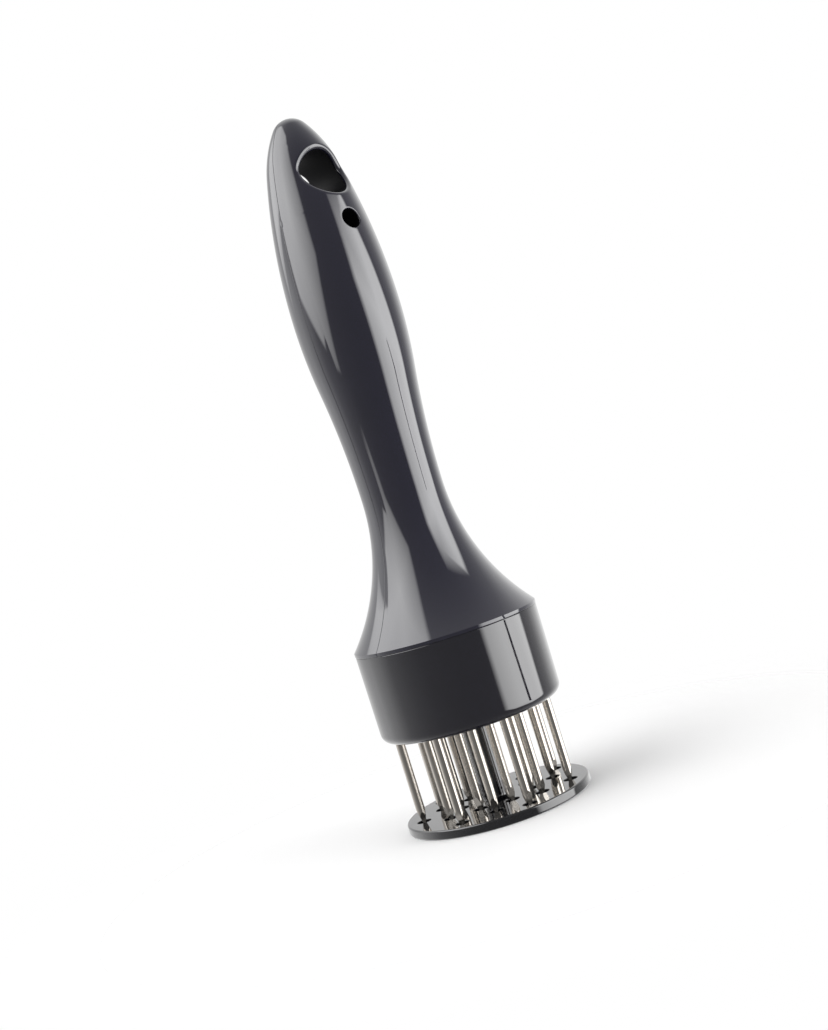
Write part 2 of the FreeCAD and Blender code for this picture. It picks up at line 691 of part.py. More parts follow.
def make_return_spring():
    """Compression spring between the stop washer and the web."""
    wire = size_of("wire_radius")
    radius = size_of("coil_radius")
    turns = size_of("spring_turns")
    foot = size_of(SPRING_FOOT) + wire
    pitch = (size_of(WAIST) - wire - foot) / turns
    halves = int(round(turns * 2))
    edges = []
    for i in range(halves):
        start, way_out = helix_point(radius, pitch, turns * i / halves)
        stop, way_in = helix_point(radius, pitch, turns * (i + 1) / halves)
        edges += biarc(start, way_out, stop, way_in)
    start, way = helix_point(radius, pitch, 0)
    outwards = start.cross(way).cross(way).normalize() * -wire
    flats = int(round(size_of("wire_flats")))
    corners = [start + Rotation(way, 360 * i / flats).multVec(outwards) for i in range(flats)]
    section = Part.makePolygon([*corners, corners[0]])
    spring = doc.addObject("Part::Feature", "return_spring")
    spring.Shape = Part.Wire(edges).makePipeShell([section], True, False)
    spring.Placement = Placement(Vector(0, 0, foot), Rotation())
    gap = least_turn_gap(radius, pitch, turns, wire)
    print(f"spring: {turns:g} turns, pitch {pitch:.2f} mm, least gap between turns {gap:.2f} mm")
    return spring


def least_turn_gap(radius, pitch, turns, wire):
    """The least gap of the spring's wire to itself, measured on points of its centre line."""
    steps = 48
    points = [helix_point(radius, pitch, i / steps)[0] for i in range(int(turns * steps) + 1)]
    least = pitch
    for i, point in enumerate(points):
        for other in points[i + steps // 2 : i + 2 * steps]:
            least = min(least, (other - point).Length)
    return least - 2 * wire


def check_made(pieces):
    """Stops if any object failed to compute or any piece has no valid solid."""
    for thing in doc.Objects:
        if "Invalid" in thing.State or "Error" in thing.State:
            raise RuntimeError(f"{thing.Name} failed: {thing.State}")
    for piece in pieces:
        shape = piece.Shape
        if shape.isNull() or not shape.isValid() or len(shape.Solids) != 1:
            raise RuntimeError(f"{piece.Name} is not one valid solid")


def check_cuts():
    """Stops if a pocket took nothing off its body."""
    for cut in doc.findObjects("PartDesign::Pocket"):
        if cut.BaseFeature.Shape.Volume - cut.Shape.Volume < 1e-3:
            raise RuntimeError(f"{cut.Name} cuts nothing")


pieces = [
    *make_grip_shells(),
    make_collar(),
    make_needle_plate(),
    make_backing_plate(),
    make_press_plate(),
    make_stop_washer(),
    make_stem_screw(),
    make_return_spring(),
    *make_blades(),
]
doc.recompute()
check_made(pieces)
check_cuts()
os.makedirs("parts", exist_ok=True)
for piece in pieces:
    piece.Label = piece.Name
    piece.Shape.exportStep(f"parts/{piece.Label}.step")
print(f"{len(pieces)} pieces, {size_of(TIP):.1f} mm tall, {2 * size_of('head_radius'):.1f} mm across")
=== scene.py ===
import math

import bmesh
import bpy
from mathutils import Matrix, Vector
from mathutils.geometry import delaunay_2d_cdt


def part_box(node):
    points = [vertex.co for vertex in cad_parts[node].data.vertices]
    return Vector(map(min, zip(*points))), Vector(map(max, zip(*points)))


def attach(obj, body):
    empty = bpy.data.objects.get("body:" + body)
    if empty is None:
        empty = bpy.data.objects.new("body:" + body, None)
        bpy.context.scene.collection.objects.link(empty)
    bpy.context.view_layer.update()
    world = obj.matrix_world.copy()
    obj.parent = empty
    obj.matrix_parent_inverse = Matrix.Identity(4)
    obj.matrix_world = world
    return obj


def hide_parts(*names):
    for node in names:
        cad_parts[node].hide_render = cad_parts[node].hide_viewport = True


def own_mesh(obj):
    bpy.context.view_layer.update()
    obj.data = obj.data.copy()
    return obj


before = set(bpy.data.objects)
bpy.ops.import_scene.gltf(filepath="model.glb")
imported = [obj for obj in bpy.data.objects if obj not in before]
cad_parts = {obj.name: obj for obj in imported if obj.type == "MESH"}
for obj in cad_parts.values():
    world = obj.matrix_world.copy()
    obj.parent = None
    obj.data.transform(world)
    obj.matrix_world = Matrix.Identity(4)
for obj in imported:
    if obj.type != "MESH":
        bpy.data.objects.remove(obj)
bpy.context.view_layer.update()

mm = 0.001
axisUp = Vector((0, 0, 1))


def cadRange(node, axis="z"):
    # how far a CAD node reaches along one axis, in mm
    low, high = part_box(node)
    return getattr(low, axis) / mm, getattr(high, axis) / mm


collarFoot, seam = cadRange("collar")
spigotFoot, tip = cadRange("grip_front_shell")
rimRadius = cadRange("grip_front_shell", "x")[1]
pressRadius = cadRange("press_plate", "x")[1]


# small tools for meshes and nodes
def linear(hexText):
    parts = [int(hexText[i : i + 2], 16) / 255 for i in (1, 3, 5)]
    parts = [p / 12.92 if p <= 0.04045 else ((p + 0.055) / 1.055) ** 2.4 for p in parts]
    return (*parts, 1.0)


def addNode(tree, kind, settings, links=()):
    # settings go to the node's sockets where it has one of that name, else to the node itself
    node = tree.nodes.new(kind)
    for key, value in settings.items():
        if isinstance(key, int) or key in node.inputs:
            node.inputs[key].default_value = value
        else:
            setattr(node, key, value)
    for socket, source in dict(links).items():
        tree.links.new(source, node.inputs[socket])
    return node


def newMaterial(name):
    material = bpy.data.materials.new(name)
    material.use_nodes = True
    material.node_tree.nodes.clear()
    return material, material.node_tree


def spread(start, stop, step):
    # even values from start to stop, both included, no further apart than step
    count = max(1, math.ceil(abs(stop - start) / step - 1e-6))
    return [start + (stop - start) * i / count for i in range(count + 1)]


def ring(radius, height, count, centre=(0, 0)):
    x, y = centre[:2]
    turns = [2 * math.pi * i / count for i in range(count)]
    return [Vector((x + radius * math.cos(a), y + radius * math.sin(a), height)) for a in turns]


def addGrid(bm, rows, loop=False, holes=()):
    # quads between neighbouring rows of points; holes are blocks of quads to leave out
    grid = [[bm.verts.new(point * mm) for point in row] for row in rows]
    for j, (low, high) in enumerate(zip(grid, grid[1:])):
        for i in range(len(low) if loop else len(low) - 1):
            if any(left <= i < right and top <= j < bottom for left, right, top, bottom in holes):
                continue
            k = (i + 1) % len(low)
            bm.faces.new((low[i], low[k], high[k], high[i]))


def goesRound(loop, spot):
    # whether a flat loop of points encloses a spot
    within = False
    for a, b in zip(loop, loop[1:] + loop[:1]):
        if (a.y > spot.y) != (b.y > spot.y) and spot.x < a.x + (b.x - a.x) * (spot.y - a.y) / (b.y - a.y):
            within = not within
    return within


def addFlat(bm, loops, across, along):
    # a flat face inside the first loop and outside the others, in the plane of two axes
    points, edges = [], []
    for loop in loops:
        first = len(points)
        points += loop
        edges += [(first + i, first + (i + 1) % len(loop)) for i in range(len(loop))]
    flat = [[Vector((getattr(p, across), getattr(p, along))) for p in loop] for loop in loops]
    made, _, faces, origins, _, _ = delaunay_2d_cdt(sum(flat, []), edges, [], 1, 1e-6)
    verts = [bm.verts.new(points[origins[i][0]] * mm) for i in range(len(made))]
    for face in faces:
        centre = sum((made[i] for i in face), Vector((0, 0))) / len(face)
        if goesRound(flat[0], centre) and not any(goesRound(hole, centre) for hole in flat[1:]):
            bm.faces.new([verts[i] for i in face])


def finishPiece(bm, name, materials, body, stands, crease=32, weighted=True):
    # one closed mesh, smooth but for edges sharper than crease, riding on its body
    bmesh.ops.remove_doubles(bm, verts=bm.verts, dist=0.001 * mm)
    bmesh.ops.recalc_face_normals(bm, faces=bm.faces)
    mesh = bpy.data.meshes.new(name)
    bm.to_mesh(mesh)
    bm.free()
    mesh.shade_smooth()
    mesh.set_sharp_from_angle(angle=math.radians(crease))
    for material in materials:
        mesh.materials.append(material)
    return placePiece(mesh, name, body, stands, weighted)


def placePiece(mesh, name, body, stands, weighted=False):
    piece = bpy.data.objects.new(name, mesh)
    bpy.context.scene.collection.objects.link(piece)
    if weighted:
        normals = piece.modifiers.new("wide faces lead the shading", "WEIGHTED_NORMAL")
        normals.keep_sharp = True
        normals.weight = 100
    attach(piece, body)
    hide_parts(*stands)
    return piece


# ABS, injection moulded in a polished tool: mirror-like, with faint sinks and fine handling marks
def polishedAbs(name, hexText, sinkDepth=0.02):
    material, tree = newMaterial(name)
    place = addNode(tree, "ShaderNodeTexCoord", {}).outputs["Object"]
    sinks = addNode(tree, "ShaderNodeTexNoise", {"Scale": 1 / (16 * mm), "Detail": 1.0}, {"Vector": place})
    marks = addNode(
        tree,
        "ShaderNodeTexNoise",
        {"Scale": 1 / (5 * mm), "Detail": 5.0, "Roughness": 0.62},
        {"Vector": place},
    )
    polish = addNode(
        tree,
        "ShaderNodeMapRange",
        {"From Min": 0.35, "From Max": 0.75, "To Min": 0.05, "To Max": 0.1},
        {"Value": marks.outputs["Fac"]},
    )
    tone = addNode(tree, "ShaderNodeValToRGB", {}, {"Fac": sinks.outputs["Fac"]})
    tone.color_ramp.elements[0].position = 0.3
    tone.color_ramp.elements[0].color = linear(hexText)
    tone.color_ramp.elements[1].position = 0.7
    tone.color_ramp.elements[1].color = [c * 1.12 for c in linear(hexText)[:3]] + [1]
    waves = addNode(
        tree,
        "ShaderNodeBump",
        {"Strength": 1.0, "Distance": sinkDepth * mm},
        {"Height": sinks.outputs["Fac"]},
    )
    surface = addNode(
        tree,
        "ShaderNodeBsdfPrincipled",
        {"IOR": 1.54, "Coat Weight": 1.0, "Coat Roughness": 0.03, "Coat IOR": 1.6},
        {
            "Base Color": tone.outputs["Color"],
            "Roughness": polish.outputs["Result"],
            "Normal": waves.outputs["Normal"],
            "Coat Normal": waves.outputs["Normal"],
        },
    )
    addNode(tree, "ShaderNodeOutputMaterial", {}, {"Surface": surface.outputs["BSDF"]})
    return material


# the same ABS where unpolished core pins shaped the holes: matt, and darker with weak reflection as painted
# shade inside the holes
def coredAbsPaintedShade(name, hexText):
    material, tree = newMaterial(name)
    place = addNode(tree, "ShaderNodeTexCoord", {}).outputs["Object"]
    grain = addNode(tree, "ShaderNodeTexNoise", {"Scale": 1 / (0.4 * mm), "Detail": 2.0}, {"Vector": place})
    bloom = addNode(
        tree,
        "ShaderNodeMapRange",
        {"To Min": 0.5, "To Max": 0.65},
        {"Value": grain.outputs["Fac"]},
    )
    surface = addNode(
        tree,
        "ShaderNodeBsdfPrincipled",
        # the dark base colour and low specular are painted shade inside the holes; the rough grain is the
        # real matt finish
        {"Base Color": linear(hexText), "IOR": 1.54, "Specular IOR Level": 0.15},
        {"Roughness": bloom.outputs["Result"]},
    )
    addNode(tree, "ShaderNodeOutputMaterial", {}, {"Surface": surface.outputs["BSDF"]})
    return material


# stainless steel, drawn through a die: bright, with fine lines along its length
def drawnStainless(name, hexText, grain, roughness, lines=(1, 1, 0.02)):
    material, tree = newMaterial(name)
    place = addNode(tree, "ShaderNodeTexCoord", {}).outputs["Object"]
    longWays = addNode(tree, "ShaderNodeMapping", {"Scale": lines}, {"Vector": place})
    drawLines = addNode(
        tree,
        "ShaderNodeTexNoise",
        {"Scale": 1 / (grain * mm), "Detail": 3.0, "Roughness": 0.6},
        {"Vector": longWays.outputs["Vector"]},
    )
    tone = addNode(tree, "ShaderNodeValToRGB", {}, {"Fac": drawLines.outputs["Fac"]})
    tone.color_ramp.elements[0].position = 0.25
    tone.color_ramp.elements[0].color = [c * 0.9 for c in linear(hexText)[:3]] + [1]
    tone.color_ramp.elements[1].position = 0.7
    tone.color_ramp.elements[1].color = linear(hexText)
    gloss = addNode(
        tree,
        "ShaderNodeMapRange",
        {"To Min": roughness * 0.8, "To Max": roughness * 1.3},
        {"Value": drawLines.outputs["Fac"]},
    )
    ridges = addNode(
        tree,
        "ShaderNodeBump",
        {"Strength": 0.3, "Distance": 0.0006 * mm},
        {"Height": drawLines.outputs["Fac"]},
    )
    surface = addNode(
        tree,
        "ShaderNodeBsdfPrincipled",
        {"Metallic": 1.0},
        {
            "Base Color": tone.outputs["Color"],
            "Roughness": gloss.outputs["Result"],
            "Normal": ridges.outputs["Normal"],
        },
    )
    addNode(tree, "ShaderNodeOutputMaterial", {}, {"Surface": surface.outputs["BSDF"]})
    return material


gripAbs = polishedAbs("moulded gloss ABS, grip", "#1b1a28", 0.03)
# the holes' material: matt, with painted shade in its darker colour
boreAbsPaintedShade = coredAbsPaintedShade("moulded matt ABS, holes, painted shade", "#0e0e12")
collarAbs = polishedAbs("moulded gloss ABS, collar", "#15141c", 0.03)
pressAbs = polishedAbs("moulded gloss ABS, press plate", "#0f0f13", 0.02)
shankSteel = drawnStainless("drawn stainless steel", "#d6d0c8", 0.3, 0.09)
pointSteel = drawnStainless("ground stainless steel", "#c4bfb8", 0.12, 0.2, (0.05, 1, 1))
plateSteel = drawnStainless("pressed stainless steel", "#c9c9c9", 0.3, 0.3, (1, 0.04, 1))
screwZinc = drawnStainless("zinc plated steel", "#cfd0d4", 0.5, 0.22, (1, 1, 1))
springWire = drawnStainless("drawn spring wire", "#b9b8b6", 0.2, 0.3, (1, 1, 1))

# pieces inside the head that keep their CAD meshes
insidePieces = {
    "backing_plate": plateSteel,
    "stop_washer": plateSteel,
    "stem_screw": screwZinc,
    "needle_plate": collarAbs,
}
for node, material in insidePieces.items():
    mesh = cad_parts[node].data
    mesh.materials.clear()
    mesh.materials.append(material)


# the grip: two half shells
gripSizes = {
    "rimBand": 1.0,  # straight band of the bell's rim
    "seamEdge": 0.25,  # rounding at the seam
    "waistRadius": 11.5,
    "waistHeight": 39.7,  # above the seam
    "ogeeShare": 0.62,  # share of the rise from waist to bulb that bends outwards
    "bulbRadius": 15.0,
    "bulbHeight": 91.5,  # above the seam
    "crownRadius": 35.5,
    "noseRadius": 5.7,
    "noseAngle": 55,
    "wall": 2.6,
    "spigotOutside": 1.8,  # spigot, inside the bell's rim
    "partingEdge": 0.16,  # rounding of each shell's edge at the parting line
    "edgeSteps": 4,
    "columns": 72,
    "rowStep": 1.0,
    "insideStep": 2.5,
    "blendRows": 9,  # from a block's border in the grid to a hole's rounding
    "holeSteps": 8,  # round a hole's edge
    "wallShares": (0.66, 0.33, 0),  # rows of a hole's wall, down to the parting plane
    # these bands take the holes' matt material, whose darker colour is painted shade
    "mattBands": 4,  # the wall's three bands of faces and the last of the rounding
    "holes": [
        {"drop": 18.2, "radius": 6.7, "edge": 1.1, "rows": 10.0, "columns": 26},
        {"drop": 32.7, "radius": 2.8, "edge": 0.35, "rows": 4.1, "columns": 10},
    ],
}
waist = seam + gripSizes["waistHeight"]
bulb = seam + gripSizes["bulbHeight"]


def gripArcs(g):
    # arcs of the long side, from the rim up: low end, high end, centre's radius, centre's height,
    # radius, and 1 where it bulges or -1 where it is hollow
    foot = seam + g["rimBand"]
    thin, wide = g["waistRadius"], g["bulbRadius"]
    flareStep, flareRise = rimRadius - thin, waist - foot
    flare = (flareStep**2 + flareRise**2) / (2 * flareStep)
    share = g["ogeeShare"]
    change = waist + (bulb - waist) * share
    ogees = ((wide - thin) ** 2 + (bulb - waist) ** 2) / (2 * (wide - thin))
    nose, crown = g["noseRadius"], g["crownRadius"]
    sine, cosine = math.sin(math.radians(g["noseAngle"])), math.cos(math.radians(g["noseAngle"]))
    noseJoin = tip - nose + nose * cosine
    crownStep = wide + (crown - nose) * sine
    crownLevel = tip - nose - (crown - nose) * cosine
    shoulder = (crownStep**2 + (crownLevel - bulb) ** 2 - crown**2) / (2 * (crownStep - crown))
    crownJoin = bulb + (crownLevel - bulb) * shoulder / (shoulder - crown)
    flat = 1e4  # the straight band counts as an arc of this many times its own radius
    return [
        (seam, foot, -rimRadius * flat, foot, rimRadius * (flat + 1), 1),
        (foot, waist, thin + flare, waist, flare, -1),
        (waist, change, thin + ogees * share, waist, ogees * share, -1),
        (change, bulb, wide - ogees * (1 - share), bulb, ogees * (1 - share), 1),
        (bulb, crownJoin, wide - shoulder, bulb, shoulder, 1),
        (crownJoin, noseJoin, wide - crownStep, crownLevel, crown, 1),
        (noseJoin, tip, 0, tip - nose, nose, 1),
    ]


arcs = gripArcs(gripSizes)


def skinAt(height):
    # the grip's radius there, and its outward normal as (out, up)
    for low, high, centre, level, radius, bulge in arcs:
        if height <= high + 1e-9:
            break
    out = math.sqrt(max(radius**2 - (height - level) ** 2, 0))
    return centre + bulge * out, (out / radius, bulge * (height - level) / radius)


def shellStations(g):
    # radius, height and normal of each row outside, from the tip down to the seam
    nose, edge = g["noseRadius"], g["partingEdge"]
    first, last = math.asin(edge / (nose - edge)), math.radians(g["noseAngle"])
    heights = [tip - nose + nose * math.cos(a) for a in spread(first, last, math.radians(4))]
    stops = [arcs[-1][0]]
    for hole in g["holes"]:
        stops += [tip - hole["drop"] + hole["rows"], tip - hole["drop"] - hole["rows"]]
    stops += [arcs[low][0] for low in (4, 3, 2, 1)] + [seam + g["seamEdge"]]
    for high, low in zip(stops, stops[1:]):
        heights += spread(high, low, g["rowStep"])[1:]
    rows = [(skinAt(h)[0], h, *skinAt(h)[1]) for h in heights]
    for angle in spread(0, math.pi / 2, math.radians(30))[1:]:
        out, up = math.cos(angle), -math.sin(angle)
        rounding = g["seamEdge"]
        rows.append((rimRadius - rounding * (1 - out), seam + rounding * (1 + up), out, up))
    return rows


def shellRow(station, side, g):
    # one row of points half way round, with the small rounding at both ends down to the parting plane
    radius, height, out, up = station
    edge, steps = g["partingEdge"], g["edgeSteps"]
    reach = math.acos(min(1, edge / (radius - edge * out)))
    row = []
    for i in range(g["columns"] + 1):
        angle = reach * (2 * i / g["columns"] - 1)
        row.append(Vector((radius * math.sin(angle), side * radius * math.cos(angle), height)))
    ends = []
    for point in (row[0], row[-1]):
        flat = Vector((point.x, point.y, 0)) / radius
        normal = flat * out + axisUp * up
        centre = point - normal * edge
        inward = Vector((0, -side, 0))
        ends.append([centre + normal.slerp(inward, k / steps) * edge for k in range(1, steps + 1)])
    return ends[0][::-1] + row + ends[1]


def plainRow(radius, height, side, g):
    # a row with no rounding, for the inside
    row = []
    for i in range(g["columns"] + 1):
        angle = math.pi * (i / g["columns"] - 0.5)
        row.append(Vector((radius * math.sin(angle), side * radius * math.cos(angle), height)))
    for point in (row[0], row[-1]):
        point.y = 0
    return [row[0]] * g["edgeSteps"] + row + [row[-1]] * g["edgeSteps"]


def insideRows(side, g):
    # down the spigot, in under its foot, up the hollow and in under the web
    outside = rimRadius - g["spigotOutside"]
    inside = outside - g["wall"]
    rows = [(outside, seam), (outside, spigotFoot), (inside, spigotFoot)]
    for height in spread(spigotFoot, waist, g["insideStep"])[1:]:
        rows.append((min(inside, skinAt(max(height, seam + g["rimBand"]))[0] - g["wall"]), height))
    rows.append((0, waist))
    return [plainRow(radius, height, side, g) for radius, height in rows]


def holeLoops(rim, hole, side, g):
    # from a block's border in the grid to the hole's rounded rim, over it and in to the parting plane
    level, radius, edge = tip - hole["drop"], hole["radius"], hole["edge"]
    blend, steps = g["blendRows"], g["holeSteps"]
    rounded, contacts = [], []
    for point in rim:
        angle = math.atan2(point.z - level, point.x)
        way = Vector((math.cos(angle), 0, math.sin(angle)))
        centre = Vector((0, 0, level)) + way * (radius + edge)
        height = centre.z
        for _ in range(12):
            height = centre.z + edge * skinAt(height)[1][1]
        skin, (out, up) = skinAt(height)
        inner = skin - edge * out
        centre.y = side * math.sqrt(inner**2 - centre.x**2)
        normal = Vector((out * centre.x / inner, out * centre.y / inner, up))
        contacts.append(centre + normal * edge)
        rounded.append([centre + normal.slerp(-way, k / steps) * edge for k in range(steps + 1)])
    loops = [rim]
    for k in range(1, blend):
        share = k / blend
        loop = []
        for start, stop in zip(rim, contacts):
            x, z = start.x + (stop.x - start.x) * share, start.z + (stop.z - start.z) * share
            loop.append(Vector((x, side * math.sqrt(skinAt(z)[0] ** 2 - x**2), z)))
        loops.append(loop)
    loops += [[line[k] for line in rounded] for k in range(steps + 1)]
    for share in g["wallShares"]:
        loops.append([Vector((line[-1].x, line[-1].y * share, line[-1].z)) for line in rounded])
    return loops


def makeShell(name, side, node, g):
    stations = shellStations(g)
    rows = [shellRow(station, side, g) for station in stations]
    bm = bmesh.new()
    blocks, bores = [], []
    for hole in g["holes"]:
        middle = g["edgeSteps"] + g["columns"] // 2
        left, right = middle - hole["columns"], middle + hole["columns"]
        level = tip - hole["drop"]
        top, bottom = (
            min(range(len(stations)), key=lambda j: abs(stations[j][1] - level - share * hole["rows"]))
            for share in (1, -1)
        )
        blocks.append((left, right, top, bottom))
        rim = rows[top][left:right] + [row[right] for row in rows[top:bottom]]
        rim += rows[bottom][right:left:-1] + [row[left] for row in rows[bottom:top:-1]]
        loops = holeLoops(rim, hole, side, g)
        addGrid(bm, loops, loop=True)
        # the last bands of each hole get the matt material with painted shade
        matt = len(rim) * g["mattBands"]
        for face in bm.faces[-matt:]:
            face.material_index = 1
        bores.append(loops[-1])
    rows += insideRows(side, g)
    addGrid(bm, rows, holes=blocks)
    outline = [row[0] for row in rows] + [row[-1] for row in rows[-2:0:-1]]
    addFlat(bm, [outline, *bores], "x", "z")
    return finishPiece(bm, name, [gripAbs, boreAbsPaintedShade], "grip", [node])


makeShell("gripFront", -1, "grip_front_shell", gripSizes)
makeShell("gripRear", 1, "grip_rear_shell", gripSizes)
print("grip made")


# the collar: ring under the bell, with its ledge and clip bead
collarSizes = {
    "step": 0.1,  # stands this far inside the bell's rim
    "draft": 0.2,  # and its foot this much further
    "wall": 1.6,
    "corner": 2.6,
    "seamEdge": 0.25,
    "ledgeHeight": 3.0,
    "ledgeInside": 3.0,  # inner edge of the ledge, inside the bell's rim
    "ledgeEdge": 0.3,
    "clipDepth": 0.45,
    "clipDrop": 6.0,
    "clipHeight": 1.6,
    "columns": 160,
}


def arcPoints(centre, radius, start, stop, steps):
    # points of an arc in the outline's plane, angles in degrees
    angles = [math.radians(start + (stop - start) * i / steps) for i in range(steps + 1)]
    return [(centre[0] + radius * math.cos(a), centre[1] + radius * math.sin(a)) for a in angles]


def makeCollar(c):
    outside = rimRadius - c["step"]
    inside = outside - c["wall"]
    ledge = rimRadius - c["ledgeInside"]
    clip = seam - c["clipDrop"]
    lowOutside = outside - c["draft"]
    outline = arcPoints((lowOutside - c["corner"], collarFoot + c["corner"]), c["corner"], -90, 0, 12)
    outline += arcPoints((outside - c["seamEdge"], seam - c["seamEdge"]), c["seamEdge"], 0, 90, 4)
    outline += [
        (inside, seam),
        (inside, clip + c["clipHeight"] / 2),
        (inside - c["clipDepth"], clip + c["clipHeight"] / 2 - c["clipDepth"]),
        (inside - c["clipDepth"], clip - c["clipHeight"] / 2 + c["clipDepth"]),
        (inside, clip - c["clipHeight"] / 2),
        (inside, collarFoot + c["ledgeHeight"]),
        (ledge, collarFoot + c["ledgeHeight"]),
    ]
    edge = c["ledgeEdge"]
    outline += arcPoints((ledge + edge, collarFoot + edge), edge, 180, 270, 4)
    bm = bmesh.new()
    rows = [ring(radius, height, c["columns"]) for radius, height in outline]
    addGrid(bm, [*rows, rows[0]], loop=True)
    return finishPiece(bm, "collarRing", [collarAbs], "grip", ["collar"])


makeCollar(collarSizes)
print("collar made")


# the press plate with its stem
pressSizes = {
    "thickness": 2.6,
    "edge": 0.5,
    "holeRadius": 2.0,
    "holeEdge": 0.15,
    "stemRadius": 4.0,
    "stemRoot": 1.2,
    "pilotRadius": 1.55,
    "pilotDepth": 14.0,
    "columns": 192,
    "stemColumns": 64,
    "holeColumns": 40,
}
needleNames = [f"needle_{i:02d}" for i in range(1, 22)]


def needleSpot(node):
    low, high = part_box(node)
    return (low + high) / 2 / mm


def makePressPlate(p):
    thick, edge, bevel = p["thickness"], p["edge"], p["holeEdge"]
    rim = pressRadius - edge
    bm = bmesh.new()
    side = arcPoints((rim, edge), edge, -90, 0, 6) + arcPoints((rim, thick - edge), edge, 0, 90, 6)
    rows = [ring(radius, height, p["columns"]) for radius, height in side]
    addGrid(bm, rows, loop=True)
    root = p["stemRadius"] + p["stemRoot"]
    stemTop = cadRange("press_plate")[1]
    stem = arcPoints((root, thick + p["stemRoot"]), p["stemRoot"], -90, -180, 8)
    pilotFoot = stemTop - p["pilotDepth"]
    stem += [(p["stemRadius"], stemTop), (p["pilotRadius"], stemTop), (p["pilotRadius"], pilotFoot)]
    stemRows = [ring(radius, height, p["stemColumns"]) for radius, height in stem]
    addGrid(bm, [*stemRows, ring(0, pilotFoot, p["stemColumns"])], loop=True)
    tops, feet = [], []
    for node in needleNames:
        spot = needleSpot(node)
        wide = p["holeRadius"] + bevel
        wall = arcPoints((wide, thick - bevel), bevel, 90, 180, 3)
        wall += arcPoints((wide, bevel), bevel, 180, 270, 3)
        holeRows = [ring(radius, height, p["holeColumns"], spot) for radius, height in wall]
        addGrid(bm, holeRows, loop=True)
        tops.append(holeRows[0])
        feet.append(holeRows[-1])
    addFlat(bm, [rows[-1], stemRows[0], *tops], "x", "y")
    addFlat(bm, [rows[0], *feet], "x", "y")
    return finishPiece(bm, "pressPlate", [pressAbs], "press", ["press_plate"])


makePressPlate(pressSizes)
print("press plate made")


# needle blades: round shanks with a point ground on four sides
bladeSizes = {
    "shankRadius": 1.25,
    "headRadius": 1.9,
    "headHeight": 1.2,
    "headBevel": 0.15,
    "flatLength": 5.0,
    "bevelLength": 4.2,
    "pointEdge": 0.3,
    "sides": 56,
}


def bladeMesh(b, low, high):
    bm = bmesh.new()
    head, bevel = high - b["headHeight"], b["headBevel"]
    outline = [(0, low), (b["shankRadius"], low), (b["shankRadius"], head), (b["headRadius"], head)]
    outline += [(b["headRadius"], high - bevel), (b["headRadius"] - bevel, high), (0, high)]
    addGrid(bm, [ring(radius, height, b["sides"]) for radius, height in outline], loop=True)
    bmesh.ops.remove_doubles(bm, verts=bm.verts, dist=0.001 * mm)
    half = b["pointEdge"] / 2
    for length, across in ((b["flatLength"], Vector((1, 0, 0))), (b["bevelLength"], Vector((0, 1, 0)))):
        for sign in (-1, 1):
            spot = across * half * sign + axisUp * low
            slope = across * length * sign - axisUp * (b["shankRadius"] - half)
            cut = bmesh.ops.bisect_plane(
                bm,
                geom=[*bm.verts, *bm.edges, *bm.faces],
                plane_co=spot * mm,
                plane_no=slope.normalized(),
                clear_outer=True,
            )
            edges = [item for item in cut["geom_cut"] if isinstance(item, bmesh.types.BMEdge)]
            for face in bmesh.ops.holes_fill(bm, edges=edges, sides=0)["faces"]:
                face.material_index = 1
    return bm


def makeBlades(b):
    low, high = cadRange(needleNames[0])
    shared = None
    for number, node in enumerate(needleNames, start=1):
        spot = needleSpot(node)
        name = f"blade{number:02d}"
        if shared is None:
            piece = finishPiece(
                bladeMesh(b, low, high), name, [shankSteel, pointSteel], "grip", [node], 10, False
            )
            shared = piece.data
        else:
            piece = placePiece(shared, name, "grip", [node])
        piece.location = Vector((spot.x, spot.y, 0)) * mm
        piece.rotation_euler.z = math.atan2(spot.y, spot.x)


makeBlades(bladeSizes)
print("blades made")


# the return spring, inside the grip
springSizes = {"wire": 0.5, "coil": 4.9, "turns": 9, "stepsPerTurn": 28, "sides": 10}


def makeSpring(s):
    low, high = cadRange("return_spring")
    foot, top = low + s["wire"], high - s["wire"]
    steps = s["turns"] * s["stepsPerTurn"]
    rows = []
    for i in range(steps + 1):
        turn = 2 * math.pi * i / s["stepsPerTurn"]
        out = Vector((math.cos(turn), math.sin(turn), 0))
        centre = out * s["coil"] + axisUp * (foot + (top - foot) * i / steps)
        ways = [2 * math.pi * k / s["sides"] for k in range(s["sides"])]
        rows.append([centre + (out * math.cos(w) + axisUp * math.sin(w)) * s["wire"] for w in ways])
    bm = bmesh.new()
    addGrid(bm, rows, loop=True)
    for row in (rows[0], rows[-1]):
        bm.faces.new([bm.verts.new(point * mm) for point in row])
    piece = finishPiece(
        bm, "returnSpring", [springWire], "grip", ["return_spring"], 40, False
    )
    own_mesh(piece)


makeSpring(springSizes)
print("spring made")


# camera: upright tool, so the photograph's lean is a roll of the camera
photo = {
    "size": (828, 1030),
    "sensor": 36,  # mm
    "focalPixels": 1476,
    "distance": 406.5,  # mm
    "azimuth": 42.0,  # from straight in front, to the left
    "aboveSeam": 40.1,
    "pitch": 1.0,
    "roll": 17.34,
    "centreShift": 4.4,  # pixels
}
azimuth, roll, pitch = (math.radians(photo[key]) for key in ("azimuth", "roll", "pitch"))
towards = Vector((-math.sin(azimuth), -math.cos(azimuth), 0))
sideways = Vector((math.cos(azimuth), -math.sin(azimuth), 0))
cameraSpot = towards * photo["distance"] + axisUp * (seam + photo["aboveSeam"])
lookWay = -towards * math.cos(pitch) - axisUp * math.sin(pitch)
plumb = axisUp * math.cos(pitch) - towards * math.sin(pitch)
cameraUp = plumb * math.cos(roll) + sideways * math.sin(roll)
cameraRight = sideways * math.cos(roll) - plumb * math.sin(roll)
